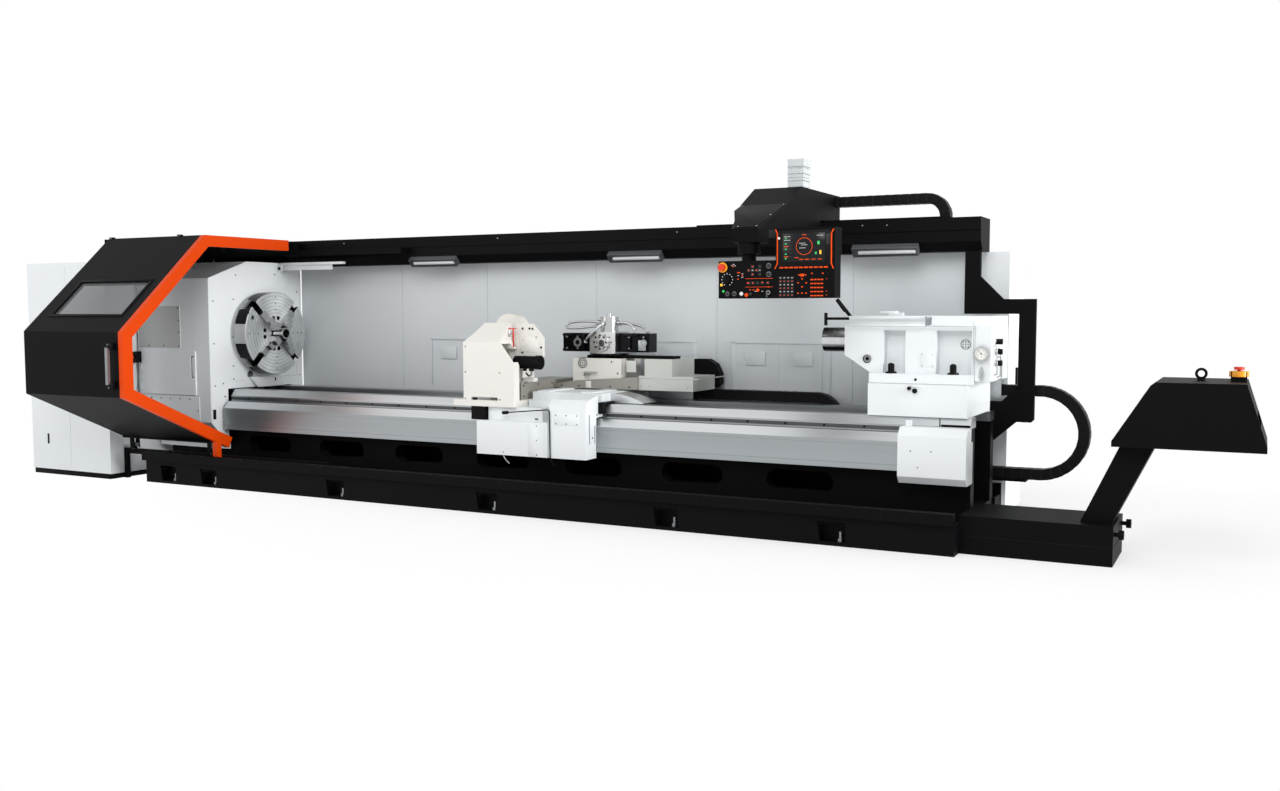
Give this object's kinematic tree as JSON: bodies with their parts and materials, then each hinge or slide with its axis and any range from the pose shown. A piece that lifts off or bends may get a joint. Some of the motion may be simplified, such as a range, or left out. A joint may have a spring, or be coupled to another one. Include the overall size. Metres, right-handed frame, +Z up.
{
  "type": "cnc turning lathe",
  "caption": "Long flat-bed turning lathe: four-jaw chuck under a sliding hood, carriage with cross slide and turret, tailstock, operator pendant on an overhead beam and chip conveyor.",
  "frame": {"origin": "on the floor, straight below the centre of the chuck's front face", "axes": "+X along the spindle from the chuck to the tailstock, +Y to the rear wall, +Z up; the spindle axis is 1.39 m above the origin"},
  "size_m": [10.917, 3.225, 2.748],
  "materials": {
    "base_tray": "satin",
    "levelling_bolts": "satin",
    "bed_casting": "satin",
    "guideways": "ground",
    "gear_rack": "satin",
    "drive_belts": "matte",
    "front_way_cover": "brushed",
    "headstock_casing": "satin",
    "headstock_casting": "cast",
    "spindle_bearings": "ground",
    "main_motor": "satin",
    "rear_wall": "satin",
    "electrical_cabinets": "satin",
    "gantry_beam": "satin",
    "work_lamps": "frosted",
    "door_rail": "satin",
    "drive_cover": "satin",
    "chip_conveyor": "satin",
    "lifting_eye": "black oxide",
    "stop_button": "gloss",
    "spindle": "ground",
    "chuck_body": "turned",
    "chuck_bolts": "black oxide",
    "chuck_jaw_1": "hardened",
    "chuck_jaw_2": "hardened",
    "chuck_jaw_3": "hardened",
    "chuck_jaw_4": "hardened",
    "motor_pulley": "turned",
    "door_shell": "satin",
    "door_trim": "gloss",
    "door_window": "clear",
    "door_handle": "matte",
    "door_roller_left": "turned",
    "door_roller_right": "turned",
    "access_door": "satin",
    "pendant_arm": "satin",
    "signal_tower": "frosted",
    "operator_panel": "satin",
    "emergency_button": "gloss",
    "mode_dial": "matte",
    "pendant_chain": "matte",
    "tailstock_chain": "matte",
    "carriage_chain": "matte",
    "saddle": "satin",
    "apron": "satin",
    "way_wipers": "matte",
    "cross_cover": "satin",
    "feed_motor": "satin",
    "drive_guard": "satin",
    "z_pinion": "ground",
    "cross_slide": "satin",
    "rear_boxes": "satin",
    "turret_head": "ground",
    "tool_holders": "black oxide",
    "coolant_hoses": "braided",
    "tailstock_base": "satin",
    "tailstock_body": "satin",
    "tailstock_fittings": "matte",
    "quill": "ground",
    "clamp_lever": "gloss"
  },
  "bodies": {
    "frame": {"base_tray": "base_tray", "levelling_bolts": "levelling_bolts", "bed_casting": "bed_casting", "guideways": "guideways", "gear_rack": "gear_rack", "front_way_cover": "front_way_cover", "headstock_casing": "headstock_casing", "headstock_casting": "headstock_casting", "spindle_bearings": "spindle_bearings", "main_motor": "main_motor", "drive_belts": "drive_belts", "rear_wall": "rear_wall", "electrical_cabinets": "electrical_cabinets", "gantry_beam": "gantry_beam", "work_lamps": "work_lamps", "door_rail": "door_rail", "drive_cover": "drive_cover", "chip_conveyor": "chip_conveyor", "lifting_eye": "lifting_eye"},
    "spindle": {"spindle": "spindle", "chuck_body": "chuck_body", "chuck_bolts": "chuck_bolts"},
    "jaw_1": {"chuck_jaw_1": "chuck_jaw_1"},
    "jaw_2": {"chuck_jaw_2": "chuck_jaw_2"},
    "jaw_3": {"chuck_jaw_3": "chuck_jaw_3"},
    "jaw_4": {"chuck_jaw_4": "chuck_jaw_4"},
    "motor_pulley": {"motor_pulley": "motor_pulley"},
    "door": {"door_shell": "door_shell", "door_trim": "door_trim", "door_window": "door_window", "door_handle": "door_handle"},
    "roller_left": {"door_roller_left": "door_roller_left"},
    "roller_right": {"door_roller_right": "door_roller_right"},
    "access_door": {"access_door": "access_door"},
    "pendant": {"pendant_arm": "pendant_arm", "signal_tower": "signal_tower"},
    "panel": {"operator_panel": "operator_panel"},
    "emergency_button": {"emergency_button": "emergency_button"},
    "mode_dial": {"mode_dial": "mode_dial"},
    "pendant_chain": {"pendant_chain": "pendant_chain"},
    "tailstock_chain": {"tailstock_chain": "tailstock_chain"},
    "carriage_chain": {"carriage_chain": "carriage_chain"},
    "carriage": {"saddle": "saddle", "apron": "apron", "way_wipers": "way_wipers", "cross_cover": "cross_cover", "feed_motor": "feed_motor", "drive_guard": "drive_guard"},
    "pinion": {"z_pinion": "z_pinion"},
    "cross_slide": {"cross_slide": "cross_slide", "rear_boxes": "rear_boxes"},
    "turret": {"turret_head": "turret_head", "tool_holders": "tool_holders", "coolant_hoses": "coolant_hoses"},
    "tailstock": {"tailstock_base": "tailstock_base", "tailstock_body": "tailstock_body", "tailstock_fittings": "tailstock_fittings"},
    "quill": {"quill": "quill"},
    "clamp_lever": {"clamp_lever": "clamp_lever"},
    "stop_button": {"stop_button": "stop_button"}
  },
  "joints": [
    {"name": "spindle_spin", "type": "hinge", "parent": "frame", "child": "spindle", "pos_m": [0, 0, 1.39], "axis": [1, 0, 0], "continuous": true},
    {"name": "jaw_1_slide", "type": "slide", "parent": "spindle", "child": "jaw_1", "axis": [0, 0.7071, 0.7071], "range_m": [-0.01, 0.09]},
    {"name": "jaw_2_slide", "type": "slide", "parent": "spindle", "child": "jaw_2", "axis": [0, -0.7071, 0.7071], "range_m": [-0.01, 0.09]},
    {"name": "jaw_3_slide", "type": "slide", "parent": "spindle", "child": "jaw_3", "axis": [0, -0.7071, -0.7071], "range_m": [-0.01, 0.09]},
    {"name": "jaw_4_slide", "type": "slide", "parent": "spindle", "child": "jaw_4", "axis": [0, 0.7071, -0.7071], "range_m": [-0.01, 0.09]},
    {"name": "motor_spin", "type": "hinge", "parent": "frame", "child": "motor_pulley", "pos_m": [-1.083, -0.515, 0.64], "axis": [1, 0, 0], "continuous": true},
    {"name": "door_slide", "type": "slide", "parent": "frame", "child": "door", "axis": [1, 0, 0], "range_m": [0, 1.1]},
    {"name": "roller_left_spin", "type": "hinge", "parent": "door", "child": "roller_left", "pos_m": [-1.04, -0.83, 0.3203], "axis": [0, 1, 0], "continuous": true},
    {"name": "roller_right_spin", "type": "hinge", "parent": "door", "child": "roller_right", "pos_m": [-0.01, -0.83, 0.3203], "axis": [0, 1, 0], "continuous": true},
    {"name": "access_door_hinge", "type": "hinge", "parent": "frame", "child": "access_door", "pos_m": [-1.1, -0.6765, 1.019], "axis": [0, 0, -1], "range_deg": [0, 90]},
    {"name": "pendant_slide", "type": "slide", "parent": "frame", "child": "pendant", "axis": [1, 0, 0], "range_m": [-0.5, 0.1]},
    {"name": "panel_swivel", "type": "hinge", "parent": "pendant", "child": "panel", "pos_m": [5.354, -0.912, 2], "axis": [0, 0, 1], "range_deg": [-45, 90]},
    {"name": "emergency_press", "type": "slide", "parent": "panel", "child": "emergency_button", "axis": [0, 1, 0], "range_m": [0, 0.006], "stiffness_N_per_m": 900, "springref_m": -0.004},
    {"name": "mode_turn", "type": "hinge", "parent": "panel", "child": "mode_dial", "pos_m": [5.226, -1, 1.823], "axis": [0, 1, 0], "range_deg": [-60, 60]},
    {"name": "pendant_chain_slide", "type": "slide", "parent": "frame", "child": "pendant_chain", "axis": [1, 0, 0], "range_m": [-0.25, 0.05]},
    {"name": "tailstock_chain_slide", "type": "slide", "parent": "frame", "child": "tailstock_chain", "axis": [1, 0, 0], "range_m": [-0.3, 0]},
    {"name": "carriage_chain_slide", "type": "slide", "parent": "frame", "child": "carriage_chain", "axis": [1, 0, 0], "range_m": [-0.625, 0.15]},
    {"name": "carriage_slide", "type": "slide", "parent": "frame", "child": "carriage", "axis": [1, 0, 0], "range_m": [-1.25, 0.3]},
    {"name": "pinion_spin", "type": "hinge", "parent": "carriage", "child": "pinion", "pos_m": [3.25, -0.411, 0.642], "axis": [0, 1, 0], "range_deg": [-250, 1030]},
    {"name": "cross_feed", "type": "slide", "parent": "carriage", "child": "cross_slide", "axis": [0, 1, 0], "range_m": [-0.22, 0.01]},
    {"name": "turret_spin", "type": "hinge", "parent": "cross_slide", "child": "turret", "pos_m": [3.665, 0.115, 1.335], "axis": [0, 0, 1], "continuous": true},
    {"name": "tailstock_slide", "type": "slide", "parent": "frame", "child": "tailstock", "axis": [1, 0, 0], "range_m": [-0.6, 0]},
    {"name": "quill_feed", "type": "slide", "parent": "tailstock", "child": "quill", "axis": [-1, 0, 0], "range_m": [0, 0.15]},
    {"name": "clamp_lever_turn", "type": "hinge", "parent": "tailstock", "child": "clamp_lever", "pos_m": [5.84, -0.08, 1.55], "axis": [0, 1, 0], "range_deg": [-10, 60]},
    {"name": "stop_press", "type": "slide", "parent": "frame", "child": "stop_button", "axis": [0, 0, -1], "range_m": [0, 0.006], "stiffness_N_per_m": 900, "springref_m": -0.012}
  ],
  "couplings": [
    {"joint": "motor_spin", "follows": "spindle_spin", "ratio": 2.1591},
    {"joint": "roller_left_spin", "follows": "door_slide", "rad_per_m": 33.333},
    {"joint": "roller_right_spin", "follows": "door_slide", "rad_per_m": 33.333},
    {"joint": "pendant_chain_slide", "follows": "pendant_slide", "ratio": 0.5},
    {"joint": "tailstock_chain_slide", "follows": "tailstock_slide", "ratio": 0.5},
    {"joint": "carriage_chain_slide", "follows": "carriage_slide", "ratio": 0.5},
    {"joint": "pinion_spin", "follows": "carriage_slide", "rad_per_m": -14.286}
  ]
}
